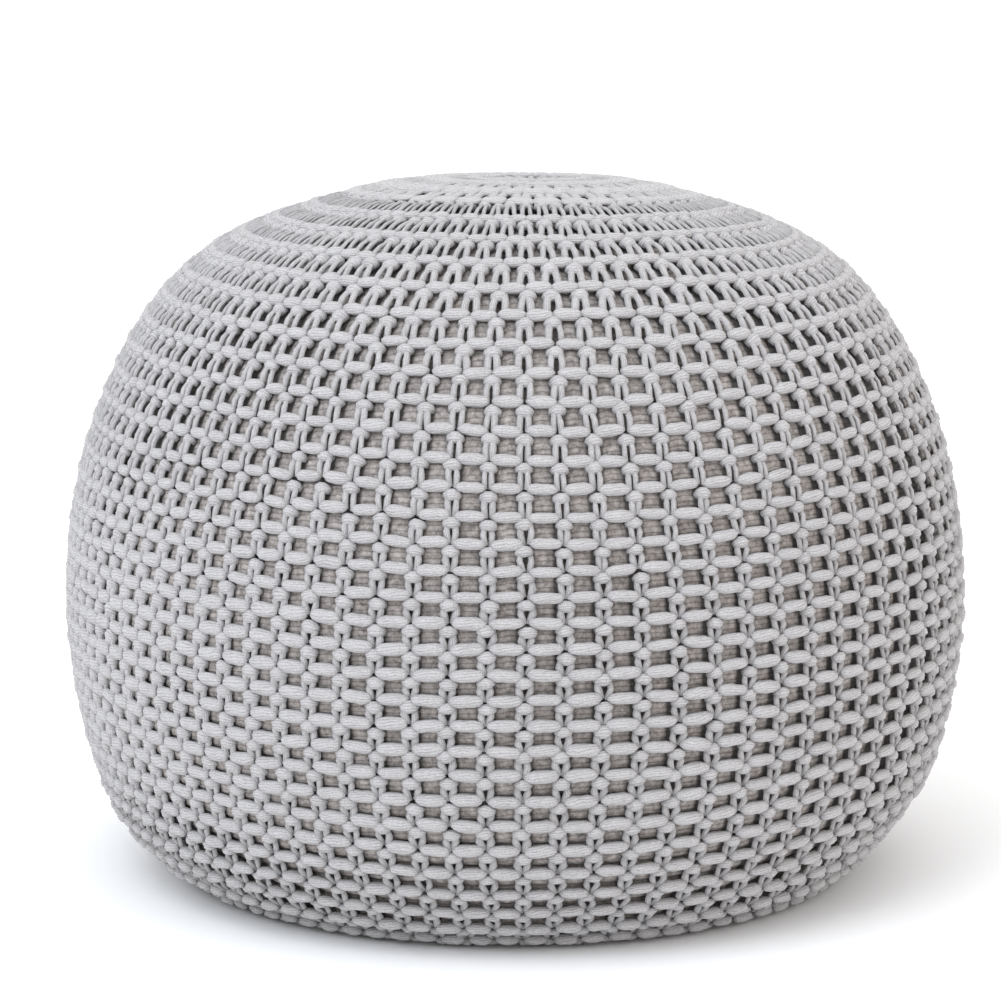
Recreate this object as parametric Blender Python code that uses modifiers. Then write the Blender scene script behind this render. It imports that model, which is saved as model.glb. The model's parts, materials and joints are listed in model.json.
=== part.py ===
"""Knitted pouf: a round, filled floor cushion in a chunky ridged knit.

One filled solid. Its profile swells from a flat base to its widest ring and draws in to a
gathered crown. The rows of the knit run round it as raised ridges, close together where the
cover is stretched wide and further apart where it is drawn in.
Metres, +Z up, origin at the middle of the base.
"""

import math
from collections import namedtuple

import bmesh
import bpy
import numpy as np

OBJECT_NAME = "knitted_pouf"
BODY_NAME = "pouf"

# Driving sizes of the stuffed body, measured over the crests of the ridges.
BODY_RADIUS = 0.250
BODY_HEIGHT = 0.385
HEART_HEIGHT = 0.160

# The profile from the rim of the base to the middle of the crown, as shares of the sizes above.
Station = namedtuple("Station", "radius height")
PROFILE = (
    Station(radius=0.736, height=0.000),
    Station(radius=0.774, height=0.016),
    Station(radius=0.820, height=0.039),
    Station(radius=0.892, height=0.096),
    Station(radius=0.945, height=0.168),
    Station(radius=0.983, height=0.272),
    Station(radius=1.000, height=0.386),
    Station(radius=0.988, height=0.513),
    Station(radius=0.943, height=0.643),
    Station(radius=0.862, height=0.764),
    Station(radius=0.758, height=0.857),
    Station(radius=0.624, height=0.921),
    Station(radius=0.458, height=0.965),
    Station(radius=0.250, height=0.996),
    Station(radius=0.000, height=1.000),
)
STEPS_PER_STATION = 24

# The rows of the knit. Where the cover is drawn in, its rows stand further apart.
FIRST_GROOVE_HEIGHT = 0.1935
UPPER_PITCH_AT_WIDEST = 0.0132
UPPER_PITCH_GAIN = 0.0143
UPPER_PITCH_POWER = 0.8
LOWER_PITCH_AT_WIDEST = 0.0133
LOWER_PITCH_GAIN = 0.025
LOWER_PITCH_MOST = 0.0225
RIDGE_DEPTH = 0.0045
RIDGE_FLAT_SHARE = 0.17

# The gather, where the crown is pulled in to a small eye.
GATHERS = 13
SIDES_PER_GATHER = 4
GATHER_RADIUS = 0.048
GATHER_RINGS = 4
GATHER_DIP = 0.006
EYE_RADIUS = 0.005
PLEAT_HEIGHT = 0.0018
PLEAT_ROUNDING = 0.8

# How far the soft body departs from a turned one.
CROWN_LEAN = math.radians(2.6)
LEAN_FADE = 4.0
CROWN_TILT = 0.064
TILT_FROM_RADIUS = 0.195
TILT_FULL_RADIUS = 0.100
TILT_POWER = 1.3
CORNER_BULGE = 0.004
CORNER_HEIGHT = 0.028
CORNER_SPREAD = 0.024
WAVE_DEPTH = 0.0012
WAVE_LOBES = 3

COVER_COLOUR = (0.60, 0.60, 0.62, 1.0)
COVER_ROUGHNESS = 0.95

Ring = namedtuple("Ring", "along depth pleat")


class Profile:
    """The body's outer line, read by the length run along it from the rim of the base."""

    def __init__(self):
        points = [np.array((s.radius * BODY_RADIUS, s.height * BODY_HEIGHT)) for s in PROFILE]
        self.radius, self.height = smooth_curve(points, STEPS_PER_STATION).T
        run = np.hypot(np.diff(self.radius), np.diff(self.height))
        self.along = np.concatenate(([0.0], np.cumsum(run)))
        self.length = self.along[-1]
        self.polar = np.arctan2(self.radius, self.height - HEART_HEIGHT)
        slope_radius = np.gradient(self.radius, self.along)
        slope_height = np.gradient(self.height, self.along)
        slope = np.hypot(slope_radius, slope_height)
        self.out_radius = slope_height / slope
        self.out_height = -slope_radius / slope

    def read(self, along, values):
        """Return the value of one of the profile's lists at a length along it."""
        return float(np.interp(along, self.along, values))

    def along_at_height(self, height):
        """Return the length along the profile at which it reaches a height."""
        return float(np.interp(height, self.height, self.along))

    def along_at_polar(self, polar):
        """Return the length along the profile at an angle from the heart's upward line."""
        return float(np.interp(polar, self.polar[::-1], self.along[::-1]))


def clear_scene():
    """Remove every object of the opened scene."""
    for old in list(bpy.data.objects):
        bpy.data.objects.remove(old, do_unlink=True)


def smooth_curve(points, steps):
    """Return an array of points on the smooth curve through the given points."""
    ends = [2 * points[0] - points[1], *points, 2 * points[-1] - points[-2]]
    curve = []
    for before, start, end, after in zip(ends, ends[1:], ends[2:], ends[3:]):
        for step in range(steps):
            t = step / steps
            leave = (end - before) * t * (1 - t) ** 2
            arrive = (after - start) * t * t * (t - 1)
            curve.append(start + (end - start) * t * t * (3 - 2 * t) + (leave + arrive) / 2)
    curve.append(points[-1])
    return np.array(curve)


def upper_pitch(drawn_in):
    """Return the distance between grooves above the first, by how far the cover is drawn in."""
    return UPPER_PITCH_AT_WIDEST + UPPER_PITCH_GAIN * drawn_in ** UPPER_PITCH_POWER


def lower_pitch(drawn_in):
    """Return the distance between grooves below the first, by how far the cover is drawn in."""
    return min(LOWER_PITCH_MOST, LOWER_PITCH_AT_WIDEST + LOWER_PITCH_GAIN * drawn_in)


def groove_rows(profile):
    """Return the lengths along the profile of the grooves between ridges, base to crown."""
    first = profile.along_at_height(FIRST_GROOVE_HEIGHT)
    rows = [first]
    for direction, pitch in ((1, upper_pitch), (-1, lower_pitch)):
        along = first
        while True:
            drawn_in = max(0.0, 1 - profile.read(along, profile.radius) / BODY_RADIUS)
            along += direction * pitch(drawn_in)
            if not 0 < along < profile.length - GATHER_RADIUS:
                break
            rows.append(along)
    return sorted(rows)


def ridge_rings(rows):
    """Return the rings of points that raise a flat-topped ridge between each two grooves."""
    rings = [Ring(along=0.0, depth=0.0, pleat=0.0)]
    for groove, next_groove in zip(rows, rows[1:]):
        crest = (groove + next_groove) / 2
        half_flat = RIDGE_FLAT_SHARE * (next_groove - groove)
        rings.append(Ring(along=groove, depth=RIDGE_DEPTH, pleat=0.0))
        rings.append(Ring(along=crest - half_flat, depth=0.0, pleat=0.0))
        rings.append(Ring(along=crest + half_flat, depth=0.0, pleat=0.0))
    rings.append(Ring(along=rows[-1], depth=RIDGE_DEPTH, pleat=0.0))
    return rings


def gather_rings(start, stop):
    """Return the rings that dip to the eye, with pleats that grow towards it."""
    rings = []
    for ring in range(1, GATHER_RINGS + 1):
        share = ring / GATHER_RINGS
        dip = RIDGE_DEPTH * (1 - share) ** 2 + GATHER_DIP * share ** 2
        pleat = PLEAT_HEIGHT * math.sin(math.pi * PLEAT_ROUNDING * share)
        rings.append(Ring(along=start + (stop - start) * share, depth=dip, pleat=pleat))
    return rings


def leaned(azimuth, along, profile):
    """Return the azimuth and length along to which the leaning knit carries a point."""
    polar = profile.read(along, profile.polar)
    lean = CROWN_LEAN * max(0.0, 1 - polar / profile.polar[0]) ** LEAN_FADE
    x = math.sin(polar) * math.cos(azimuth)
    y = math.sin(polar) * math.sin(azimuth)
    z = math.cos(polar)
    x, z = x * math.cos(lean) + z * math.sin(lean), z * math.cos(lean) - x * math.sin(lean)
    return math.atan2(y, x), profile.along_at_polar(math.atan2(math.hypot(x, y), z))


def swell(azimuth, height):
    """Return how far the stuffing pushes the body out of its turned form."""
    corner = math.exp(-(((height - CORNER_HEIGHT) / CORNER_SPREAD) ** 2))
    wave = math.sin(math.pi * height / BODY_HEIGHT) * math.sin(WAVE_LOBES * azimuth)
    return WAVE_DEPTH * wave - CORNER_BULGE * corner * math.cos(azimuth)


def tipped(y, radius, height):
    """Return the height of a point once the crown has sunk to the back."""
    if height < BODY_HEIGHT / 2:
        return height
    share = (TILT_FROM_RADIUS - radius) / (TILT_FROM_RADIUS - TILT_FULL_RADIUS)
    return height - CROWN_TILT * y * min(1.0, max(0.0, share)) ** TILT_POWER


def body_point(azimuth, ring, profile):
    """Return the place of a point of a ring on the leaning, uneven body."""
    depth = ring.depth - ring.pleat * math.cos(GATHERS * azimuth)
    azimuth, along = leaned(azimuth, ring.along, profile)
    radius = profile.read(along, profile.radius) - depth * profile.read(along, profile.out_radius)
    height = profile.read(along, profile.height) - depth * profile.read(along, profile.out_height)
    radius += swell(azimuth, height) * min(1.0, radius / BODY_RADIUS)
    x = radius * math.cos(azimuth)
    y = radius * math.sin(azimuth)
    return x, y, tipped(y, radius, height)


def turned_mesh(rings, profile, sides):
    """Return a mesh turned from the rings' profile; each side's points run crown to base."""
    outline = bpy.data.meshes.new("profile")
    points = [(profile.read(ring.along, profile.radius), 0.0,
               profile.read(ring.along, profile.height)) for ring in rings]
    outline.from_pydata(points, [(i, i + 1) for i in range(len(points) - 1)], [])
    lathe = bpy.data.objects.new("profile", outline)
    bpy.context.scene.collection.objects.link(lathe)
    screw = lathe.modifiers.new("turn", "SCREW")
    screw.steps = sides
    screw.render_steps = sides
    evaluated = lathe.evaluated_get(bpy.context.evaluated_depsgraph_get())
    mesh = bpy.data.meshes.new_from_object(evaluated)
    bpy.data.objects.remove(lathe, do_unlink=True)
    return mesh


def centre_on_origin(shape):
    """Move the body sideways until the middle of its outline stands over the origin."""
    for axis in (0, 1):
        places = [vertex.co[axis] for vertex in shape.verts]
        middle = (min(places) + max(places)) / 2
        for vertex in shape.verts:
            vertex.co[axis] -= middle


def make_body(collection, material):
    """Build the filled body as one closed, ridged solid."""
    profile = Profile()
    rows = groove_rows(profile)
    rings = ridge_rings(rows) + gather_rings(rows[-1], profile.length - EYE_RADIUS)
    rings.reverse()
    sides = GATHERS * SIDES_PER_GATHER
    mesh = turned_mesh(rings, profile, sides)
    shape = bmesh.new()
    shape.from_mesh(mesh)
    for vertex in shape.verts:
        side, ring = divmod(vertex.index, len(rings))
        vertex.co = body_point(2 * math.pi * side / sides, rings[ring], profile)
    bmesh.ops.holes_fill(shape, edges=shape.edges, sides=sides)
    bmesh.ops.recalc_face_normals(shape, faces=shape.faces)
    centre_on_origin(shape)
    shape.to_mesh(mesh)
    shape.free()
    mesh.name = BODY_NAME
    mesh.shade_smooth()
    mesh.materials.append(material)
    collection.objects.link(bpy.data.objects.new(BODY_NAME, mesh))


def make_cover_material():
    """Return the light grey, matt cotton of the cover."""
    material = bpy.data.materials.new("cover_yarn")
    material.use_nodes = True
    shader = material.node_tree.nodes["Principled BSDF"]
    shader.inputs["Base Color"].default_value = COVER_COLOUR
    shader.inputs["Roughness"].default_value = COVER_ROUGHNESS
    shader.inputs["Metallic"].default_value = 0.0
    return material


def main():
    """Build the pouf in a collection of its own."""
    clear_scene()
    collection = bpy.data.collections.new(OBJECT_NAME)
    bpy.context.scene.collection.children.link(collection)
    make_body(collection, make_cover_material())


main()
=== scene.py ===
"""Knitted pouf in a chunky garter knit: its looks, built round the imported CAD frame.

The cover is real cord: every stitch is a loop with its bar, its two legs and the head of the
loop below them, laid on the stuffed body. Metres, +Z up, origin at the middle of the base.
"""

import json
import logging
import math
from collections.abc import Callable
from dataclasses import dataclass, field
from enum import Enum
from functools import partial

import bmesh
import bpy
import numpy as np
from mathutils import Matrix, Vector

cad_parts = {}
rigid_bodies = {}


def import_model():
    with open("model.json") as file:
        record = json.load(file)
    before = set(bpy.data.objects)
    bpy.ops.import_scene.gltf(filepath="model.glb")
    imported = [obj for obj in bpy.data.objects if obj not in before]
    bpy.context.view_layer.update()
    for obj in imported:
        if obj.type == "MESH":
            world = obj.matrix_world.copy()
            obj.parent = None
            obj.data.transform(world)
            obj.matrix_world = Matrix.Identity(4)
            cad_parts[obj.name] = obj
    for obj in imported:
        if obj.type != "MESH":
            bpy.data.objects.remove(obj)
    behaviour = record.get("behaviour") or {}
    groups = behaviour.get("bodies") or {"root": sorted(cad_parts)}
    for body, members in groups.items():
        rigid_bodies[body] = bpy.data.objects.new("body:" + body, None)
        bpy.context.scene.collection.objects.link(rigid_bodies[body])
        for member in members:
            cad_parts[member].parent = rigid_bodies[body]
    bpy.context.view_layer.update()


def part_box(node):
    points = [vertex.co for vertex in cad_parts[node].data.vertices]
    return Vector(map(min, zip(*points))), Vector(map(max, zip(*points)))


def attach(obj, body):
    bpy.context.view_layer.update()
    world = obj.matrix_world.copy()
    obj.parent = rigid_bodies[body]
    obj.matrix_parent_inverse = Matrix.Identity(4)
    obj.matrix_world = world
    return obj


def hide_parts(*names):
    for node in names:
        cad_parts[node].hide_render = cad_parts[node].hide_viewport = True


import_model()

LOG = logging.getLogger("pouf")
BODY_NODE = "pouf"
ROOT_BODY = "root"

Array = np.ndarray
CORD_UV = "cord"
GROUND_UV = "ground"
SUNK = "sunk"
MM = 0.001
CM_PER_METRE = 100
SEAM = 0.001 * MM
# The tilt lifts the crown's front edge over its middle by this much.
CROWN_RISE = 2.2 * MM

# --- Node graphs ---


class Sock:
    """A shader socket that takes part in sums and products of values."""

    def __init__(self, graph: "Graph", socket: bpy.types.NodeSocket) -> None:
        """Hold an output socket of a graph."""
        self.graph = graph
        self.socket = socket

    def _math(self, operation: str, *values: "Sock | float") -> "Sock":
        """Return the output of a Math node fed with the values."""
        return self.graph.node("ShaderNodeMath", {"operation": operation}, dict(enumerate(values)))

    def __add__(self, other: "Sock | float") -> "Sock":
        """Return self + other."""
        return self._math("ADD", self, other)

    def __radd__(self, other: float) -> "Sock":
        """Return other + self."""
        return self._math("ADD", other, self)

    def __sub__(self, other: "Sock | float") -> "Sock":
        """Return self - other."""
        return self._math("SUBTRACT", self, other)

    def __rsub__(self, other: float) -> "Sock":
        """Return other - self."""
        return self._math("SUBTRACT", other, self)

    def __mul__(self, other: "Sock | float") -> "Sock":
        """Return self * other."""
        return self._math("MULTIPLY", self, other)

    def __rmul__(self, other: float) -> "Sock":
        """Return other * self."""
        return self._math("MULTIPLY", other, self)

    def __pow__(self, other: float) -> "Sock":
        """Return self raised to a power."""
        return self._math("POWER", self, other)

    def __abs__(self) -> "Sock":
        """Return the size of self without its sign."""
        return self._math("ABSOLUTE", self)

    def sine(self) -> "Sock":
        """Return the sine of self, in radians."""
        return self._math("SINE", self)

    def clamped(self) -> "Sock":
        """Return self held between 0 and 1."""
        return self.graph.node("ShaderNodeClamp", {}, {"Value": self}, "Result")


class Graph:
    """The node tree of one material, built by expressions."""

    def __init__(self, name: str) -> None:
        """Start a material with a Principled BSDF.

        Args:
            name: the material's name.
        """
        self.material = bpy.data.materials.new(name)
        self.material.use_nodes = True
        self.tree = self.material.node_tree
        self.shader = self.tree.nodes["Principled BSDF"]

    def node(self, kind: str, settings: dict, inputs: dict, output: "str | int" = 0) -> Sock:
        """Add a node.

        Args:
            kind: the node's type.
            settings: its properties, which are set first.
            inputs: values or sockets by the name or number of its inputs.
            output: the name or number of the output that is wanted.

        Returns:
            The output, wrapped.
        """
        node = self.tree.nodes.new(kind)
        for name, value in settings.items():
            setattr(node, name, value)
        for name, value in inputs.items():
            self._give(node.inputs[name], value)
        return Sock(self, node.outputs[output])

    def _give(self, target: bpy.types.NodeSocket, value: "Sock | float | tuple") -> None:
        """Link a wrapped socket to an input, or set the input's own value.

        Args:
            target: the input.
            value: what it gets.
        """
        if isinstance(value, Sock):
            self.tree.links.new(value.socket, target)
        else:
            target.default_value = value

    def uv(self, layer: str) -> tuple[Sock, Sock]:
        """Return the two coordinates of a UV map."""
        places = {"Vector": self.node("ShaderNodeUVMap", {"uv_map": layer}, {})}
        return tuple(self.node("ShaderNodeSeparateXYZ", {}, places, axis) for axis in "XY")

    def attribute(self, name: str) -> Sock:
        """Return the value of one of the mesh's attributes."""
        return self.node("ShaderNodeAttribute", {"attribute_name": name}, {}, "Fac")

    def vector(self, x: "Sock | float", y: "Sock | float") -> Sock:
        """Return a vector made of two values."""
        return self.node("ShaderNodeCombineXYZ", {}, {"X": x, "Y": y})

    def noise(self, vector: Sock, scale: float, detail: float = 2.0, rough: float = 0.5) -> Sock:
        """Return a noise value, about 0.5 on average, at a vector."""
        inputs = {"Vector": vector, "Scale": scale, "Detail": detail, "Roughness": rough}
        return self.node("ShaderNodeTexNoise", {}, inputs, "Fac")

    def objects(self) -> Sock:
        """Return the point's place on the object, in metres."""
        return self.node("ShaderNodeTexCoord", {}, {}, "Object")

    def blend(self, factor: "Sock | float", first: "Sock | tuple", second: "Sock | tuple") -> Sock:
        """Return a mix of two colours by a factor."""
        inputs = {0: factor, 6: first, 7: second}
        return self.node("ShaderNodeMix", {"data_type": "RGBA"}, inputs, 2)

    def tint(self, colour: Sock, factor: Sock) -> Sock:
        """Return a colour scaled by a value."""
        inputs = {0: colour, "Scale": factor}
        return self.node("ShaderNodeVectorMath", {"operation": "SCALE"}, inputs)

    def bump(self, height: Sock, distance: float) -> Sock:
        """Return normals tilted by a height from 0 to 1 over a distance in metres."""
        inputs = {"Height": height, "Distance": distance, "Strength": 1.0}
        return self.node("ShaderNodeBump", {}, inputs, "Normal")

    def finished(self, **inputs: "Sock | float | tuple") -> bpy.types.Material:
        """Set or link the shader's inputs.

        Args:
            inputs: values or sockets by their names, with underscores for spaces.

        Returns:
            The material.
        """
        for name, value in inputs.items():
            self._give(self.shader.inputs[name.replace("_", " ")], value)
        return self.material


def opaque(colour: tuple[float, float, float]) -> tuple[float, float, float, float]:
    """Return a colour with full alpha."""
    return (*colour, 1.0)


# --- Finishes ---


@dataclass(frozen=True)
class CordFinish:
    """Matt cotton cord of loosely laid strands, with fine fibres along it.

    A pattern's tone says how much it lightens and darkens the cord, and its height how much it
    adds to the relief.
    """

    name: str = "cotton_cord"
    light: tuple[float, float, float] = (0.452, 0.441, 0.445)
    # painted shade: the darker colour in the grooves between the strands
    groove: tuple[float, float, float] = (0.235, 0.222, 0.222)
    roughness: float = 0.95
    sheen: float = 0.2
    sheen_roughness: float = 0.6
    specular: float = 0.15
    strands: int = 13
    turns_per_cm: float = 0.75
    groove_sharpness: float = 0.5
    relief: float = 0.34 * MM
    wander: float = 0.16
    wear: float = 1.2
    unworn: float = 0.35
    fluffs_per_metre: float = 700.0
    speckles_per_metre: float = 1300.0
    length_tone: float = 0.10
    fibre_tone: float = 0.28
    fluff_tone: float = 0.30
    speckle_tone: float = 0.90
    strand_height: float = 0.70
    fibre_height: float = 0.30
    fluff_height: float = 0.45
    speckle_height: float = 0.55
    # painted shade: how much darker the cord is drawn where it lies deepest below the crests
    sunk_painted_shade: float = 0.30

    def build(self) -> bpy.types.Material:
        """Build the finish on a UV map that runs in centimetres along and once around.

        Returns:
            The material.
        """
        graph = Graph(self.name)
        along, around = graph.uv(CORD_UV)

        def streaks(per_cm: float, per_turn: float, **fineness: float) -> Sock:
            """Return a noise that is drawn out along the cord."""
            return graph.noise(graph.vector(along * per_cm, around * per_turn), 1.0, **fineness)

        wander = streaks(per_cm=1.4, per_turn=2.5) - 0.5
        phase = (around + wander * self.wander) * self.strands + along * self.turns_per_cm
        strand = abs((phase * math.pi).sine()) ** self.groove_sharpness
        fibre = streaks(per_cm=4.0, per_turn=40.0, detail=3.0, rough=0.6)
        fluff = graph.noise(graph.objects(), self.fluffs_per_metre, 3.0, 0.7)
        speckle = graph.noise(graph.objects(), self.speckles_per_metre, 2.0, 0.6)
        worn = streaks(per_cm=1.1, per_turn=5.0)
        tone = streaks(per_cm=0.11, per_turn=0.0, detail=1.0)
        # the groove colour blended in here is painted shade between the strands
        seen = (strand + (worn - self.unworn) * self.wear).clamped()
        colour = graph.blend(seen, opaque(self.groove), opaque(self.light))
        shade = 1.0 + (tone - 0.5) * self.length_tone + (fibre - 0.5) * self.fibre_tone
        shade = shade + (fluff - 0.5) * self.fluff_tone + (speckle - 0.5) * self.speckle_tone
        height = strand * self.strand_height + fibre * self.fibre_height
        height = height + fluff * self.fluff_height + speckle * self.speckle_height
        return graph.finished(
            Base_Color=graph.tint(colour, self.dimmed(graph, shade, along)),
            Roughness=self.roughness,
            Sheen_Weight=self.sheen,
            Sheen_Roughness=self.sheen_roughness,
            Specular_IOR_Level=self.specular,
            Normal=graph.bump(height, self.relief),
        )

    def dimmed(self, graph: Graph, shade: Sock, along: Sock) -> Sock:
        """Return the cord's shade, with painted shade darkening it where it runs below the crests.
        """
        return shade * (1.0 - graph.attribute(SUNK) * self.sunk_painted_shade)


@dataclass(frozen=True)
class BackCordFinish(CordFinish):
    """The same cord on the inner side of the cover, in darker, warmer colours that are painted
    shade, with more painted shade away from the pockets' middle.

    Its UV map counts two units along for each stitch, with a pocket's middle at every even one.
    """

    name: str = "cotton_cord_back"
    # painted shade: the cord's colours darkened and warmed to taupe, as the cover's inner side
    # lies in shade
    light: tuple[float, float, float] = (0.350, 0.318, 0.300)
    groove: tuple[float, float, float] = (0.115, 0.102, 0.094)
    strands: int = 15
    turns_per_cm: float = 0.1
    wander: float = 0.03
    mottle: float = 2.0
    mottles_per_metre: float = 330.0
    # painted shade towards the sides of each pocket: the darkest share, where it sets in and how
    # fast
    darkest: float = 0.30
    dark_to: float = 0.60
    dark_fade: float = 5.0

    def dimmed(self, graph: Graph, shade: Sock, along: Sock) -> Sock:
        """Mottle the shade, and darken it with painted shade towards the sides of each pocket.

        Args:
            graph: the finish's node graph.
            shade: the cord's own shade.
            along: the place along the cord.

        Returns:
            The new shade.
        """
        across = abs((along * (math.pi / 2) + math.pi / 2).sine())
        across = ((across - self.dark_to) * self.dark_fade).clamped()
        patch = graph.noise(graph.objects(), self.mottles_per_metre, 2.0, 0.6)
        light = across * (1 - self.darkest) + self.darkest
        return (shade + (patch - 0.5) * self.mottle) * light


@dataclass(frozen=True)
class GroundFinish:
    """Taupe cloth of the stuffed body in the pockets, drawn very dark as painted shade in the deep
    gaps.
    """

    name: str = "taupe_ground"
    # painted shade: both colours are kept very dark, for the deep gaps behind the cords
    light: tuple[float, float, float] = (0.13, 0.115, 0.105)
    dark: tuple[float, float, float] = (0.07, 0.062, 0.057)
    thread: float = 1.1 * MM
    relief: float = 0.3 * MM
    fuzz_per_metre: float = 1400.0
    clouds_per_metre: float = 60.0
    weft: float = 0.55
    warp: float = 0.2
    fuzz: float = 0.25
    cloudiness: float = 0.3

    def build(self) -> bpy.types.Material:
        """Build the finish, woven on the ground's own UV map in metres.

        Returns:
            The material.
        """
        graph = Graph(self.name)
        across, up = graph.uv(GROUND_UV)
        weft, warp = (abs((place * (math.pi / self.thread)).sine()) for place in (up, across))
        fuzz = graph.noise(graph.objects(), self.fuzz_per_metre, 2.0, 0.6)
        clouds = graph.noise(graph.objects(), self.clouds_per_metre) * self.cloudiness
        weave = weft * self.weft + warp * self.warp + fuzz * self.fuzz
        colour = graph.blend(weave, opaque(self.dark), opaque(self.light))
        return graph.finished(
            Base_Color=graph.tint(colour, (1 - self.cloudiness / 2) + clouds),
            Roughness=0.95,
            Specular_IOR_Level=0.1,
            Normal=graph.bump(weave, self.relief),
        )


@dataclass(frozen=True)
class FloorFinish:
    """Plain pale floor."""

    name: str = "pale_floor"
    colour: tuple[float, float, float] = (0.97, 0.97, 0.97)

    def build(self) -> bpy.types.Material:
        """Return the material."""
        colour = opaque(self.colour)
        return Graph(self.name).finished(Base_Color=colour, Roughness=0.8, Specular_IOR_Level=0.1)


# --- The stuffed body's form ---


@dataclass(frozen=True)
class Ramp:
    """A share that goes evenly from 0 at its start to 1 where it is full."""

    start: float
    full: float

    def at(self, size: "float | Array") -> "float | Array":
        """Return the share at a size."""
        return np.clip((size - self.start) / (self.full - self.start), 0.0, 1.0)


def smooth_curve(points: list[Array], steps: int) -> Array:
    """Return the points of a smooth curve through some points.

    Args:
        points: the points to pass through.
        steps: how many points to make for each stretch.

    Returns:
        An array with one point a row.
    """
    ends = [2 * points[0] - points[1], *points, 2 * points[-1] - points[-2]]
    curve = []
    for before, start, end, after in zip(ends, ends[1:], ends[2:], ends[3:]):
        for step in range(steps):
            t = step / steps
            leave = (end - before) * t * (1 - t) ** 2
            arrive = (after - start) * t * t * (t - 1)
            curve.append(start + (end - start) * t * t * (3 - 2 * t) + (leave + arrive) / 2)
    curve.append(points[-1])
    return np.array(curve)


@dataclass
class BodyForm:
    """The outer surface of the pouf at the crests of its knit.

    A place on it is an azimuth, the length run along the profile from the rim of the base
    (negative under the base) and a lift above the crests. A station of the profile is a share
    of the radius and a share of the height.
    """

    radius: float
    height: float
    heart_height: float = 0.160
    crown_lean: float = math.radians(2.6)
    lean_fade: float = 4.0
    corner_bulge: float = 0.004
    corner_height: float = 0.028
    corner_spread: float = 0.024
    wave_depth: float = 0.0012
    wave_lobes: int = 3
    crown_tilt: float = 0.064
    tilted: Ramp = Ramp(0.195, 0.100)
    tilt_power: float = 1.3
    normal_reach: float = 0.006
    steps: int = 24
    crest_points: int = 361
    stations: tuple[tuple[float, float], ...] = (
        (0.736, 0.000), (0.774, 0.016), (0.820, 0.039), (0.892, 0.096), (0.945, 0.168),
        (0.983, 0.272), (1.000, 0.386), (0.988, 0.513), (0.943, 0.643), (0.862, 0.764),
        (0.758, 0.857), (0.624, 0.921), (0.458, 0.965), (0.250, 0.996), (0.000, 1.000),
    )
    centre: Array = field(default_factory=lambda: np.zeros(2))

    def __post_init__(self) -> None:
        """Work out the profile's lists and centre the body on the origin."""
        points = [np.array((r * self.radius, h * self.height)) for r, h in self.stations]
        side = smooth_curve(points, self.steps)
        under = np.linspace((0.0, 0.0), side[0], self.steps, endpoint=False)
        line = np.vstack((under, side))
        run = np.hypot(*np.diff(line, axis=0).T)
        self.rim = float(side[0, 0])
        self.along = np.concatenate(([0.0], np.cumsum(run))) - self.rim
        self.length = float(self.along[-1])
        self.line = line
        self.polar = np.arctan2(line[:, 0], line[:, 1] - self.heart_height)
        ahead, behind = (
            np.array([np.interp(self.along + reach, self.along, part) for part in line.T])
            for reach in (self.normal_reach, -self.normal_reach)
        )
        slope = ahead - behind
        self.out = (np.array((slope[1], -slope[0])) / np.hypot(*slope)).T
        ring = np.linspace(-math.pi, math.pi, self.crest_points)
        crest = np.vstack([self.place(ring, np.full_like(ring, s), 0 * ring) for s in self.along])
        self.centre = (crest[:, :2].min(axis=0) + crest[:, :2].max(axis=0)) / 2

    def radius_at(self, along: "float | Array") -> "float | Array":
        """Return the body's radius at a length along the profile."""
        return np.interp(along, self.along, self.line[:, 0])

    def along_at_height(self, height: float) -> float:
        """Return the length along the profile at which its side reaches a height."""
        side = self.along >= 0
        return float(np.interp(height, self.line[side, 1], self.along[side]))

    def leaned(self, azimuth: Array, along: Array) -> tuple[Array, Array]:
        """Carry places along with the leaning knit.

        Args:
            azimuth: their azimuths on an upright body.
            along: their lengths along its profile.

        Returns:
            The azimuths and lengths where the leaning knit has them.
        """
        polar = np.interp(along, self.along, self.polar)
        rim_polar = np.interp(0.0, self.along, self.polar)
        lean = self.crown_lean * np.maximum(0.0, 1 - polar / rim_polar) ** self.lean_fade
        x = np.sin(polar) * np.cos(azimuth)
        y = np.sin(polar) * np.sin(azimuth)
        z = np.cos(polar)
        x, z = x * np.cos(lean) + z * np.sin(lean), z * np.cos(lean) - x * np.sin(lean)
        new_polar = np.arctan2(np.hypot(x, y), z)
        return np.arctan2(y, x), np.interp(new_polar, self.polar[::-1], self.along[::-1])

    def tipped(self, y: Array, radius: Array, height: Array) -> Array:
        """Return the heights of points once the crown has sunk to the back."""
        share = self.tilted.at(radius) * (height > self.height / 2)
        return height - self.crown_tilt * y * share ** self.tilt_power

    def place(self, azimuth: Array, along: Array, lift: Array) -> Array:
        """Find points in space for places on the body.

        Args:
            azimuth: their azimuths.
            along: their lengths along the profile.
            lift: their heights above the crests.

        Returns:
            The points, one a row.
        """
        azimuth, along = self.leaned(azimuth, along)
        radius, height = (
            np.interp(along, self.along, self.line[:, i])
            + lift * np.interp(along, self.along, self.out[:, i])
            for i in (0, 1)
        )
        corner = np.exp(-(((height - self.corner_height) / self.corner_spread) ** 2))
        wave = np.sin(math.pi * height / self.height) * np.sin(self.wave_lobes * azimuth)
        swell = self.wave_depth * wave - self.corner_bulge * corner * np.cos(azimuth)
        radius = radius + swell * np.clip(radius / self.radius, 0.0, 1.0)
        x = radius * np.cos(azimuth) - self.centre[0]
        y = radius * np.sin(azimuth) - self.centre[1]
        return np.stack((x, y, self.tipped(y, radius, height)), axis=-1)


# --- The rows of the knit ---


class Detail(Enum):
    """How finely a stitch is modelled, by the sides of its thick cords."""

    FINE = 8
    PLAIN = 6


@dataclass(frozen=True)
class Row:
    """One row of bars, with the pocket above each bar."""

    along: float
    pitch: float
    radius: float
    stitches: int
    detail: Detail
    upper: bool
    gathered: bool

    @property
    def width(self) -> float:
        """Return the width of one stitch."""
        return 2 * math.pi * self.radius / self.stitches


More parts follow.
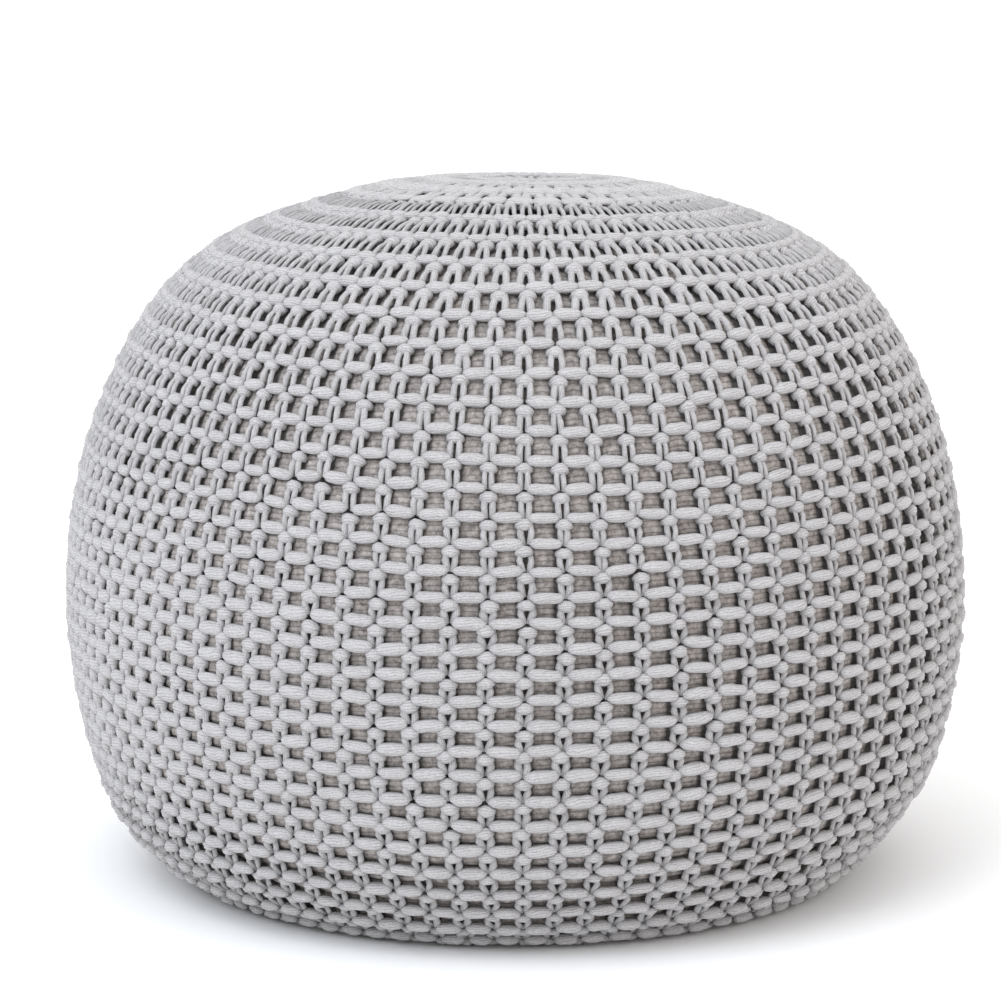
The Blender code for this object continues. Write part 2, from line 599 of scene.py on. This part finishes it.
@dataclass
class RowPlan:
    """Where the rows lie: close together where the cover is stretched wide."""

    form: BodyForm
    stitches: int = 84
    first_groove_height: float = 0.1935
    pitch_at_widest: float = 0.0132
    pitch_gain: float = 0.0143
    pitch_power: float = 0.8
    low_pitch_at_widest: float = 0.0133
    low_pitch_gain: float = 0.025
    low_pitch_most: float = 0.0225
    crown_gather_radius: float = 0.048
    base_gather_radius: float = 0.045
    narrowest: float = 0.0072

    def __post_init__(self) -> None:
        """Find the groove that the others are counted from."""
        self.first = self.form.along_at_height(self.first_groove_height)

    def pitch_at(self, along: float) -> float:
        """Work out how far apart the rows lie.

        Args:
            along: a length along the profile.

        Returns:
            The distance between rows there.
        """
        drawn_in = max(0.0, 1 - self.form.radius_at(along) / self.form.radius)
        if along <= self.first:
            low_pitch = self.low_pitch_at_widest + self.low_pitch_gain * drawn_in
            return min(self.low_pitch_most, low_pitch)
        return self.pitch_at_widest + self.pitch_gain * drawn_in ** self.pitch_power

    def grooves(self) -> list[float]:
        """Step out from the first groove, up to the crown and down to the base.

        Returns:
            The lengths along the profile of the rows of pockets, base to crown.
        """
        found = [self.first]
        lowest = -self.form.rim + self.base_gather_radius
        highest = self.form.length - self.crown_gather_radius
        for direction in (1, -1):
            along = self.first + direction * self.pitch_at(self.first + direction * MM)
            while lowest < along < highest:
                found.append(along)
                along += direction * self.pitch_at(along)
        return sorted(found)

    def rows(self) -> list[Row]:
        """Lay a row of bars between each two grooves, and one above the last.

        Returns:
            Every row, from the middle of the base to the crown.
        """
        grooves = self.grooves()
        bars = [(low + high) / 2 for low, high in zip(grooves, grooves[1:])]
        bars.append(2 * grooves[-1] - bars[-1])
        found = []
        for along, above in zip(bars, bars[1:] + [2 * bars[-1] - bars[-2]]):
            radius = self.form.radius_at(along)
            wide = 2 * math.pi * radius / self.stitches > self.narrowest
            stitches = self.stitches if wide else self.stitches // 2
            detail = Detail.FINE if along > -self.pitch_at_widest else Detail.PLAIN
            upper = along > self.first
            found.append(Row(along, above - along, radius, stitches, detail, upper, not wide))
        return found


# --- Stitches ---

# How a stitch changes its shape with the rows' pitch and its own width.
OPENED = Ramp(13.7 * MM, 15.2 * MM)
STRETCHED = Ramp(14.1 * MM, 19.1 * MM)
CLOSED_UP = Ramp(19.9 * MM, 15.4 * MM)
ROOMY = Ramp(15.0 * MM, 19.0 * MM)


@dataclass
class Patch:
    """A part of a mesh, kept as arrays so that it can be laid out many times.

    Attributes:
        points: one point a row. Before the patch is laid, the nearest point of the cord's
            centre line (x, y, lift) and the way from there to the cord's surface; after it,
            the point in space and its lift.
        faces: the corners of each face.
        uvs: for each corner of each face, its place along and around the cord.
    """

    points: Array
    faces: list[tuple[int, ...]]
    uvs: Array

    @staticmethod
    def joined(parts: list["Patch"]) -> "Patch":
        """Join several patches.

        Args:
            parts: the patches.

        Returns:
            One patch of them all.
        """
        faces = []
        start = 0
        for part in parts:
            faces += [tuple(corner + start for corner in face) for face in part.faces]
            start += len(part.points)
        points = np.vstack([part.points for part in parts])
        return Patch(points, faces, np.vstack([part.uvs for part in parts]))


@dataclass(frozen=True)
class Bead:
    """A point on a cord's centre line.

    It lies at x round the body, y up it and a lift above the crests, and the cord is half as
    high along the body and half as deep into it as its sizes say.
    """

    x: float
    y: float
    lift: float
    high: float
    deep: float

    def mirrored(self, about: float = 0.0) -> "Bead":
        """Return the bead on the other side of an upright line."""
        return Bead(2 * about - self.x, self.y, self.lift, self.high, self.deep)


def sweep_cord(beads: list[Bead], sides: int) -> Patch:
    """Draw a closed length of cord along its beads.

    Args:
        beads: the centre line, in metres.
        sides: how many sides the cord has.

    Returns:
        The cord as a patch, with its faces outwards and the seam of its UV map on the side
        facing the body.
    """
    line = [Vector((bead.x, bead.y, bead.lift)) for bead in beads]
    shape = bmesh.new()
    start = bmesh.ops.create_circle(shape, cap_ends=True, segments=sides, radius=1.0)
    rings = [sorted(start["verts"], key=lambda v: math.atan2(v.co.y, v.co.x))]
    for _ in beads[1:]:
        edges = [shape.edges.get((a, b)) for a, b in zip(rings[-1], rings[-1][1:] + rings[-1][:1])]
        grown = bmesh.ops.extrude_edge_only(shape, edges=edges)["geom"]
        fresh = [item for item in grown if isinstance(item, bmesh.types.BMVert)]
        follow = {old: next(v for v in fresh if shape.edges.get((old, v))) for old in rings[-1]}
        rings.append([follow[old] for old in rings[-1]])
    bmesh.ops.contextual_create(shape, geom=rings[-1])

    spine = {}
    run = 0.0
    for index, (bead, ring) in enumerate(zip(beads, rings)):
        ahead = line[min(index + 1, len(line) - 1)]
        behind = line[max(index - 1, 0)]
        forward = (ahead - behind).normalized()
        outward = Vector((0.0, 0.0, 1.0))
        outward = (outward - forward * outward.dot(forward)).normalized()
        sideways = outward.cross(forward)
        if index:
            run += (line[index] - line[index - 1]).length
        for step, vert in enumerate(ring):
            turn = 2 * math.pi * (step + 0.5) / sides
            vert.co = line[index]
            vert.co -= outward * (bead.deep * math.cos(turn))
            vert.co += sideways * (bead.high * math.sin(turn))
            spine[vert] = (line[index], run, step / sides)
    # A folded cord misleads the operator, so its volume decides which way is out.
    shape.normal_update()
    bmesh.ops.recalc_face_normals(shape, faces=shape.faces)
    if shape.calc_volume(signed=True) < 0:
        bmesh.ops.reverse_faces(shape, faces=shape.faces)
    shape.verts.index_update()
    centres = np.array([spine[vert][0] for vert in shape.verts])
    places = np.array([vert.co for vert in shape.verts])
    faces = []
    uvs = []
    for face in shape.faces:
        faces.append(tuple(loop.vert.index for loop in face.loops))
        around = [spine[loop.vert][2] for loop in face.loops]
        wraps = max(around) - min(around) > 0.5 and len(around) == 4
        for loop, turn in zip(face.loops, around):
            along = spine[loop.vert][1] * CM_PER_METRE
            uvs.append((along, turn + 1.0 if wraps and turn < 0.5 else turn))
    shape.free()
    return Patch(np.hstack((centres, places - centres)), faces, np.array(uvs))


@dataclass
class StitchShape:
    """One loop of the cover: a plump bar, its legs, and the head of the loop they pass under.

    Width and pitch belong to the row; the rest is the cord's own. Four shares from 0 to 1 steer
    the shape: how far the rows stand apart, how far the crown stretches them apart, how far
    narrow stitches close the gaps between them, and how far the stitch is a wide one.
    """

    width: float
    pitch: float
    upper: bool
    fullness: float = 1.0
    bar_high: float = 3.30 * MM
    bar_deep: float = 3.15 * MM
    leg_thick: float = 1.70 * MM
    leg_most: float = 0.152
    head_high: float = 2.50 * MM
    head_reach: float = 3.5 * MM
    head_most: float = 0.40
    head_place: float = 0.715

    def __post_init__(self) -> None:
        """Work out the shares, and half the sizes of a leg, of its gap and of the bar."""
        narrow = CLOSED_UP.at(self.width)
        self.opened = OPENED.at(self.pitch + 0.4 * MM * self.upper)
        self.stretched = STRETCHED.at(self.pitch) * self.upper
        self.closed = narrow * (1 - self.opened)
        self.roomy = ROOMY.at(self.width)
        plump = 0.20 * self.roomy + 0.70 * self.closed
        plump += (0.85 * (1 - self.roomy) - 0.38) * self.opened * self.upper
        self.leg = min(self.leg_thick + plump * MM, self.leg_most * self.width) * self.fullness
        apart = (0.22 if self.upper else 1.15) * min(1.0, self.width / (12.0 * MM))
        self.gap = ((1.1 - 0.85 * narrow) * (1 - self.opened) + apart * self.opened) * MM
        thin = 0.95 + 0.15 * self.stretched if self.upper else 1.0
        thin += (1.22 - thin) * self.closed
        self.high = self.bar_high * thin * self.fullness
        self.deep = self.bar_deep * (1 - 0.30 * self.stretched - 0.38 * self.closed)

    def bar(self) -> list[Bead]:
        """Shape the bar, a plump lens of cord.

        Returns:
            Its beads, from its left end to its right.
        """
        closed = self.closed
        deep = self.deep
        top = -deep - 0.1 * MM
        drawn_in = 2.0 * (1 - closed) * (1 - self.stretched) + 0.3 * closed + 0.10
        reach = self.width / 2 - drawn_in * MM
        # for each bead: share of the reach, lift in millimetres, share of the thickness
        shares = (
            (1.0, -1.1 + 0.5 * closed, 0.50 + 0.20 * closed),
            (0.80, -0.30 + 0.1 * closed, 0.82 + 0.10 * closed),
            (0.46, 0.0, 0.98),
            (0.0, 0.0, 1.0),
        )
        right = [
            Bead(share * reach, 0.0, top + lift * MM, self.high * thick,
                 deep * (0.35 + 0.65 * thick))
            for share, lift, thick in shares
        ]
        return [bead.mirrored() for bead in right] + right[-2::-1]

    def right_leg(self) -> list[Bead]:
        """Shape the right leg.

        Returns:
            Its beads, from under the bar's end up to under the head.
        """
        leg = self.leg
        gap = self.gap
        closed = self.closed
        far = self.stretched
        x = self.width / 2 - gap - leg
        flat = (0.62 + 0.20 * closed) * leg
        flare = 0.10 * self.width * far
        raised = 0.5 + 0.8 * closed + (1.6 * self.opened - 0.4 * far) * self.upper
        face = -self.deep + raised * MM - flat
        pitch = self.pitch
        return [
            Bead(x + 1.7 * gap * (1 - far) - flare, -0.04 * pitch, face - 0.9 * MM, leg, flat),
            Bead(x - 0.5 * flare, 0.37 * pitch, face, leg, flat),
            Bead(x + 0.47 * gap, (0.56 + 0.04 * far) * pitch, face - (0.9 - 0.5 * far) * MM,
                 (0.92 + 0.08 * far) * leg, flat),
            Bead(x + 0.85 * gap, (0.74 + 0.06 * far) * pitch, face - (2.6 - 0.6 * far) * MM,
                 (0.80 + 0.15 * far) * leg, 0.9 * flat),
        ]

    def head(self) -> list[Bead]:
        """Shape the head of the loop below, over the legs at the stitch's right edge.

        Returns:
            Its beads, from left to right.
        """
        half = self.width / 2
        closed = self.closed
        far = self.stretched
        reach = self.head_reach + (1.3 * closed + 0.1 * self.opened + 0.4 * far) * MM
        reach = min(reach, self.head_most * self.width) * self.fullness
        high = self.head_high + (0.60 * self.roomy + 1.6 * closed + 1.7 * far) * MM
        high = high * min(1.0, self.width / (10.0 * MM)) ** 0.6 * self.fullness
        overlap = (1.0 + 0.9 * self.opened * self.upper + 0.5 * far) * MM
        touching = self.pitch - self.high - high + overlap
        middle = max(self.head_place * self.pitch, touching) * (1 - closed)
        middle = middle + 0.53 * self.pitch * closed
        depth = 0.84 - 0.28 * far - 0.38 * closed
        raised = (0.8 * far + 1.2 * closed) * MM
        # for each bead: share of the reach, rise and lift in millimetres, share of the thickness
        shares = ((-1.0, -0.9, -5.6, 0.60), (-0.76, -0.3, -4.1, 0.83), (-0.30, 0.0, -3.35, 1.0))
        left = [
            Bead(half + share * reach, middle + rise * MM, lift * MM + raised, high * thick,
                 depth * high * thick)
            for share, rise, lift, thick in shares
        ]
        return left + [bead.mirrored(half) for bead in reversed(left)]

    def patch(self, detail: Detail) -> Patch:
        """Make the stitch's mesh.

        Args:
            detail: how finely it is modelled.

        Returns:
            The mesh, yet to be laid.
        """
        bar = self.bar()
        leg = self.right_leg()
        if detail is Detail.PLAIN:
            bar = bar[::2]
            leg = leg[:2] + leg[3:]
        legs = (leg, [bead.mirrored() for bead in leg])
        parts = [sweep_cord(cord, Detail.PLAIN.value) for cord in legs]
        parts += [sweep_cord(cord, detail.value) for cord in (bar, self.head())]
        return Patch.joined(parts)


@dataclass(frozen=True)
class WaleSpread:
    """How the columns of stitches stand round the body: closest together on its left."""

    front: float = -math.pi / 2 - 0.0205
    once: float = 0.132
    twice: float = 0.053

    def azimuth(self, turn: Array) -> Array:
        """Return the azimuth of a column from its turn, counted evenly from the front."""
        shift = self.twice / 2 * np.sin(2 * turn) - self.once * (np.cos(turn) - 1)
        return self.front + turn + shift

    def width_share(self, turn: Array) -> Array:
        """Return a column's width as a share of the mean."""
        return 1 + self.once * np.sin(turn) + self.twice * np.cos(2 * turn)


@dataclass
class Unevenness:
    """How the hand and the stuffing vary the stitches.

    Nothing rises over the crests by more than the highest lift, or at all in the rows that lie
    on the floor.
    """

    seed: int = 11
    shift: float = 0.00028
    tilt: float = math.radians(2.6)
    thickness: float = 0.045
    lift: float = 0.00020
    highest: float = 0.0006
    flat_below: float = 0.010
    grain: float = 0.00016
    row_wave: float = 0.0009
    wale_wave: float = 0.0007

    def __post_init__(self) -> None:
        """Start the random draws."""
        self.random = np.random.default_rng(self.seed)

    def spread(self, count: int, size: float) -> Array:
        """Return a column of small random values, one a stitch."""
        return np.clip(self.random.normal(0.0, size, (count, 1)), -2.2 * size, 2.2 * size)

    def drift(self, azimuth: Array, along: Array) -> tuple[Array, Array]:
        """Work out the slow wander of the rows and wales.

        Args:
            azimuth: the azimuths of some points.
            along: their lengths along the profile.

        Returns:
            How far each is moved sideways, and how far up.
        """
        up = np.sin(2 * azimuth + 21 * along + 0.6) + 0.6 * np.sin(5 * azimuth - 34 * along + 2.1)
        aside = np.sin(3 * azimuth + 30 * along) + 0.7 * np.sin(7 * azimuth + 17 * along + 1.3)
        return self.wale_wave * aside, self.row_wave * up


# --- Pieces ---

# How far points lie below the crests, from 0 near them to 1 at the cover's back; it sets the
# cord's painted shade.
SUNK_IN = Ramp(-1.2 * MM, -6.0 * MM)


def add_object(name: str, data: bpy.types.ID) -> bpy.types.Object:
    """Return a new object at the origin, linked to the scene."""
    bpy.context.scene.collection.objects.link(item := bpy.data.objects.new(name, data))
    return item


def dress(piece: bpy.types.Object) -> bpy.types.Object:
    """Let a piece stand for the CAD body and ride with it.

    Args:
        piece: the piece.

    Returns:
        The same piece.
    """
    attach(piece, ROOT_BODY)
    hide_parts(BODY_NODE)
    triangles = sum(len(face.vertices) - 2 for face in piece.data.polygons)
    LOG.info("%s: %d triangles", piece.name, triangles)
    return piece


def smooth_object(shape: bmesh.types.BMesh, mesh: bpy.types.Mesh,
                  material: bpy.types.Material) -> bpy.types.Object:
    """Make a smooth-shaded object of a bmesh, which is freed.

    Args:
        shape: the bmesh.
        mesh: the mesh that takes it over, and whose name the object gets.
        material: its finish.

    Returns:
        The object.
    """
    shape.to_mesh(mesh)
    shape.free()
    mesh.materials.append(material)
    mesh.shade_smooth()
    return add_object(mesh.name, mesh)


def wrapped_piece(name: str, layer: str, grids: list[tuple[int, int, Callable]],
                  material: bpy.types.Material) -> bpy.types.Object:
    """Make a piece of grids of squares that are wrapped into closed forms.

    Args:
        name: the piece's name.
        layer: its UV map's name.
        grids: for each grid, how many squares it has either way, and a function that turns
            two lists of shares of its sides into points and their places on the UV map.
        material: its finish.

    Returns:
        The piece, with its seams and poles closed and its faces outwards.
    """
    shape = bmesh.new()
    uv_map = shape.loops.layers.uv.new(layer)
    for columns, rows, lay in grids:
        grid = bmesh.ops.create_grid(shape, x_segments=columns, y_segments=rows, size=0.5)
        counts = np.array([vert.co[:2] for vert in grid["verts"]]) + 0.5
        across, up = np.round(counts * (columns, rows)).T
        for vert, point, uv in zip(grid["verts"], *lay(across / columns, up / rows)):
            vert.co = point
            for loop in vert.link_loops:
                loop[uv_map].uv = uv
    bmesh.ops.remove_doubles(shape, verts=shape.verts, dist=SEAM)
    bmesh.ops.recalc_face_normals(shape, faces=shape.faces)
    return dress(smooth_object(shape, bpy.data.meshes.new(name), material))


def cord_piece(name: str, parts: list[Patch], material: bpy.types.Material) -> bpy.types.Object:
    """Make a piece of lengths of cord.

    Args:
        name: the piece's name.
        parts: the lengths, as they are laid.
        material: its finish.

    Returns:
        The piece.
    """
    cords = Patch.joined(parts)
    mesh = bpy.data.meshes.new(name)
    mesh.from_pydata(cords.points[:, :3].tolist(), [], cords.faces)
    uv_map = mesh.uv_layers.new(name=CORD_UV)
    uv_map.data.foreach_set("uv", cords.uvs.astype(np.float32).ravel())
    sunk = mesh.attributes.new(name=SUNK, type="FLOAT", domain="POINT")
    sunk.data.foreach_set("value", SUNK_IN.at(cords.points[:, 3]).astype(np.float32))
    shape = bmesh.new()
    shape.from_mesh(mesh)
    return dress(smooth_object(shape, mesh, material))


@dataclass
class KnitCover:
    """The knitted cover: every stitch of every row, in bands of rows."""

    form: BodyForm
    plan: RowPlan
    unevenness: Unevenness
    spread: WaleSpread
    rows_per_band: int = 8
    gathered_fullness: float = 1.7
    gathered_relief: float = 0.55
    calm_above_rim: float = 0.05
    uv_shift: float = 400.0

    def stitch_row(self, row: Row) -> list[Patch]:
        """Lay a row's stitches round the body.

        Args:
            row: the row.

        Returns:
            The stitches.
        """
        count = row.stitches
        turn = 2 * math.pi * np.arange(count).reshape(-1, 1) / count
        share = self.spread.width_share(turn)
        fullness = self.gathered_fullness if row.gathered else 1.0
        narrow, wide = (
            StitchShape(row.width * limit, row.pitch, row.upper, fullness).patch(row.detail)
            for limit in (share.min(), share.max())
        )
        part = ((share - share.min()) / (share.max() - share.min()))[..., None]
        spine, offset = np.split(narrow.points + (wide.points - narrow.points) * part, 2, axis=-1)
        vary = self.unevenness
        offset = offset * (1 + vary.spread(count, vary.thickness))[..., None]
        offset = offset + vary.random.normal(0.0, vary.grain, offset.shape)
        x, y, lift = np.moveaxis(spine + offset, -1, 0)
        tilt = vary.spread(count, vary.tilt)
        x, y = x - y * tilt, y + x * tilt
        x = x + vary.spread(count, vary.shift)
        y = y + vary.spread(count, vary.shift)
        highest = vary.highest if row.along > vary.flat_below else 0.0
        lift = np.minimum(lift + vary.spread(count, vary.lift), highest)
        lift = lift * (self.gathered_relief if row.gathered else 1.0)
        azimuth = self.spread.azimuth(turn) + x / row.radius
        along = row.along + y
        aside, up = vary.drift(azimuth, along)
        fade = np.clip(along / self.calm_above_rim, 0.0, 1.0)
        azimuth = azimuth + fade * aside / max(row.radius, self.calm_above_rim)
        points = self.form.place(azimuth, along + fade * up, lift)
        shifts = vary.random.uniform(0.0, self.uv_shift, count)
        return [
            Patch(stitch, wide.faces, wide.uvs + (shift, 0.0))
            for stitch, shift in zip(np.dstack((points, lift)), shifts)
        ]

    def build(self, material: bpy.types.Material) -> None:
        """Build the cover in bands of rows, base to crown.

        Args:
            material: its finish.
        """
        rows = self.plan.rows()
        for start in range(0, len(rows), self.rows_per_band):
            band = rows[start:start + self.rows_per_band]
            name = f"cover_rows_{start + 1:02d}_to_{start + len(band):02d}"
            stitches = [stitch for row in band for stitch in self.stitch_row(row)]
            cord_piece(name, stitches, material)


@dataclass
class BackCords:
    """The cords on the inner side of the cover that cross behind each row of pockets.

    They close the pockets from one bar to the next, and bulge a little in each. Their mesh and
    their UV map both take two steps to a stitch.
    """

    form: BodyForm
    plan: RowPlan
    spread: WaleSpread
    depth: float = 0.0092
    upper_depth: float = 0.0080
    narrow_rise: float = 0.0035
    crown_sink: float = 0.0012
    sunk_pitch: Ramp = Ramp(16.0 * MM, 20.0 * MM)
    bulge: float = 0.0008
    deep: float = 0.0020
    high: float = 0.56
    sides: int = 6
    sag: float = 0.0004

    def ring(self, row: Row, across: Array, around: Array) -> tuple[Array, Array]:
        """Lay the flat cord behind one row of pockets.

        Args:
            row: the row of bars under the pockets.
            across: for each point, its share of the way round the body.
            around: for each point, its share of the way round the cord.

        Returns:
            The points, and their places on the UV map.
        """
        turn = 2 * math.pi * across
        roll = 2 * math.pi * (around + 0.5 / self.sides)
        ripple = np.cos(turn * row.stitches)
        opened = StitchShape(row.width, row.pitch, row.upper).opened
        closed = CLOSED_UP.at(row.width * self.spread.width_share(turn)) * (1 - opened)
        depth = self.depth + (self.upper_depth - self.depth) * opened * row.upper
        depth = depth + self.crown_sink * self.sunk_pitch.at(row.pitch) * row.upper
        lift = self.bulge * ripple - (depth - self.narrow_rise * closed) - self.deep * np.cos(roll)
        up = row.pitch * (0.5 + self.high * np.sin(roll)) + self.sag * ripple
        points = self.form.place(self.spread.azimuth(turn), row.along + up, lift)
        return points, np.stack((2 * row.stitches * across, around), axis=-1)

    def build(self, material: bpy.types.Material) -> None:
        """Build the cords, one ring to a row, as one piece.

        Args:
            material: their finish.
        """
        rows = self.plan.rows()
        rings = [(2 * row.stitches, self.sides, partial(self.ring, row)) for row in rows]
        wrapped_piece("cover_back_cords", CORD_UV, rings, material)


@dataclass
class FilledBody:
    """The stuffed body under the cover, which shows as taupe cloth in the pockets."""

    form: BodyForm
    depth: float = 0.0120
    crown_depth: float = 0.0018
    squares_round: int = 156
    squares_up: int = 95
    narrowest_weave: float = 0.02

    def lay(self, across: Array, up: Array) -> tuple[Array, Array]:
        """Lay the cloth from the middle of the base to the middle of the crown.

        Args:
            across: for each point, its share of the way round the body.
            up: for each point, its share of the way up the profile.

        Returns:
            The points, and their places on the UV map, in metres.
        """
        along = self.form.along[0] + (self.form.length - self.form.along[0]) * up
        azimuth = math.pi * (2 * across - 1) * ((up > 0) & (up < 1))
        radius = self.form.radius_at(along)
        depth = self.depth + self.crown_depth * (1 - radius / self.form.radius) * (along > 0)
        wide = 2 * math.pi * np.maximum(radius, self.narrowest_weave)
        points = self.form.place(azimuth, along, -depth)
        return points, np.stack((wide * across, along), axis=-1)

    def build(self, material: bpy.types.Material) -> None:
        """Build the filled body as one closed piece."""
        grid = (self.squares_round, self.squares_up, self.lay)
        wrapped_piece("filled_body", GROUND_UV, [grid], material)


@dataclass
class Gather:
    """Where the cover is drawn in to a small eye: a ring of cords pulled to the middle.

    Every other cord stops short of the eye and lies a little deeper.
    """

    name: str
    form: BodyForm
    outer: float
    direction: int
    cords: int = 42
    thick: float = 0.0040
    thinnest: float = 0.0007
    snug: float = 1.05
    eye: float = 0.0045
    short_to: float = 0.35
    doubled_from: float = 0.4
    dip: float = 0.0016
    short_sink: float = 0.0016
    swirl: float = 0.16
    nearest: float = 0.5 * MM
    narrowest_turn: float = 3.0 * MM
    sides: int = 8
    beads: int = 8

    def beads_to(self, inner: float, sink: float) -> list[Bead]:
        """Shape one cord from the gather's rim inwards.

        Args:
            inner: how near it comes to the middle.
            sink: how much deeper it lies there than at the rim, besides the dip.

        Returns:
            Its beads, with the distance from the middle as their x.
        """
        beads = []
        for share in np.linspace(0.0, 1.0, self.beads):
            radius = self.outer + (inner - self.outer) * share
            room = math.pi * radius / self.cords
            room *= 1.0 if radius > self.doubled_from * self.outer else 2.0
            high = min(self.thick, max(room * self.snug, self.thinnest))
            dip = self.dip * (1 - radius / self.outer) ** 2 + sink * share
            beads.append(Bead(radius, 0.0, -self.thick - 0.1 * MM - dip, high, self.thick))
        return beads

    def build(self, material: bpy.types.Material) -> None:
        """Build the gather as one piece.

        Args:
            material: its finish.
        """
        end = self.form.length if self.direction > 0 else -self.form.rim
        ways = ((self.eye, 0.0), (self.short_to * self.outer, self.short_sink))
        long_cord, short_cord = (sweep_cord(self.beads_to(*way), self.sides) for way in ways)
        parts = []
        for index in range(self.cords):
            cord = short_cord if index % 2 else long_cord
            radius, aside, lift = (cord.points[:, :3] + cord.points[:, 3:]).T
            radius = np.maximum(radius, self.nearest)
            turn = WaleSpread.front + 2 * math.pi * (index + 0.5) / self.cords
            turn = turn + self.direction * aside / np.maximum(radius, self.narrowest_turn)
            turn = turn + self.swirl * (1 - radius / self.outer)
            points = self.form.place(turn, end - self.direction * radius, lift)
            parts.append(Patch(np.column_stack((points, lift)), cord.faces, cord.uvs))
        cord_piece(self.name, parts, material)


# --- Studio ---


@dataclass(frozen=True)
class Lamp:
    """A large soft light: its place and width in metres, its power in watts, its colour."""

    name: str
    place: tuple[float, float, float]
    size: float
    power: float
    colour: tuple[float, float, float]


@dataclass(frozen=True)
class Studio:
    """Pale floor, soft lights, and the camera at the photograph's angle."""

    frame_pixels: int = 1001
    axis_pixel: tuple[float, float] = (515.5, 530.5)
    aim_height: float = 0.1875
    elevation: float = math.radians(11.0)
    distance: float = 2.5
    focal_pixels: float = 4500.0
    sensor: float = 36.0
    floor_size: float = 24.0
    sky: tuple[float, float, float] = (1.0, 1.0, 1.0)
    sky_strength: float = 1.09
    lamps: tuple[Lamp, ...] = (
        Lamp("key", (-1.5, -1.9, 2.5), 2.4, 54.0, (0.88, 0.965, 1.08)),
        Lamp("top", (0.2, -0.9, 3.0), 2.4, 12.0, (1.0, 1.0, 1.0)),
        Lamp("fill", (2.4, -1.2, 1.1), 1.8, 10.0, (1.08, 0.95, 0.88)),
    )

    def build_floor(self) -> None:
        """Lay the floor, which isn't part of the pouf."""
        shape = bmesh.new()
        bmesh.ops.create_grid(shape, x_segments=1, y_segments=1, size=self.floor_size / 2)
        floor = smooth_object(shape, bpy.data.meshes.new("floor"), FloorFinish().build())

    def build_camera(self) -> None:
        """Aim the camera at the body's axis."""
        lens = bpy.data.cameras.new("camera")
        lens.sensor_width = self.sensor
        lens.lens = self.focal_pixels / self.frame_pixels * self.sensor
        middle = self.frame_pixels / 2
        lens.shift_x = (middle - self.axis_pixel[0]) / self.frame_pixels
        lens.shift_y = (self.axis_pixel[1] - middle) / self.frame_pixels
        camera = add_object("camera", lens)
        back = Vector((0.0, -math.cos(self.elevation), math.sin(self.elevation)))
        camera.location = Vector((0.0, 0.0, self.aim_height)) + back * self.distance
        camera.rotation_euler = (math.pi / 2 - self.elevation, 0.0, 0.0)
        bpy.context.scene.camera = camera

    def build_lights(self) -> None:
        """Add the lamps and the pale surroundings."""
        for lamp in self.lamps:
            light = bpy.data.lights.new(lamp.name, "AREA")
            light.size = lamp.size
            light.energy = lamp.power
            light.color = lamp.colour
            holder = add_object(lamp.name, light)
            holder.location = lamp.place
            aim = Vector((0.0, 0.0, self.aim_height)) - Vector(lamp.place)
            holder.rotation_euler = aim.to_track_quat("-Z", "Y").to_euler()
        world = bpy.data.worlds.new("surroundings")
        world.use_nodes = True
        background = world.node_tree.nodes["Background"]
        background.inputs["Color"].default_value = opaque(self.sky)
        background.inputs["Strength"].default_value = self.sky_strength
        bpy.context.scene.world = world
        bpy.context.scene.view_settings.view_transform = "Standard"


def main() -> None:
    """Build the studio and the pouf."""
    logging.basicConfig(level=logging.INFO, format="%(name)s: %(message)s")
    studio = Studio()
    studio.build_camera()
    studio.build_lights()
    studio.build_floor()
    low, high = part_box(BODY_NODE)
    form = BodyForm(radius=(high[0] - low[0]) / 2, height=high[2] - low[2] - CROWN_RISE)
    plan = RowPlan(form)
    cord = CordFinish().build()
    FilledBody(form).build(GroundFinish().build())
    spread = WaleSpread()
    BackCords(form, plan, spread).build(BackCordFinish().build())
    KnitCover(form, plan, Unevenness(), spread).build(cord)
    grooves = plan.grooves()
    Gather("crown_gather", form, form.length - grooves[-1], 1).build(cord)
    Gather("base_gather", form, form.rim + plan.rows()[0].along, -1).build(cord)


if __name__ == "__main__":
    main()
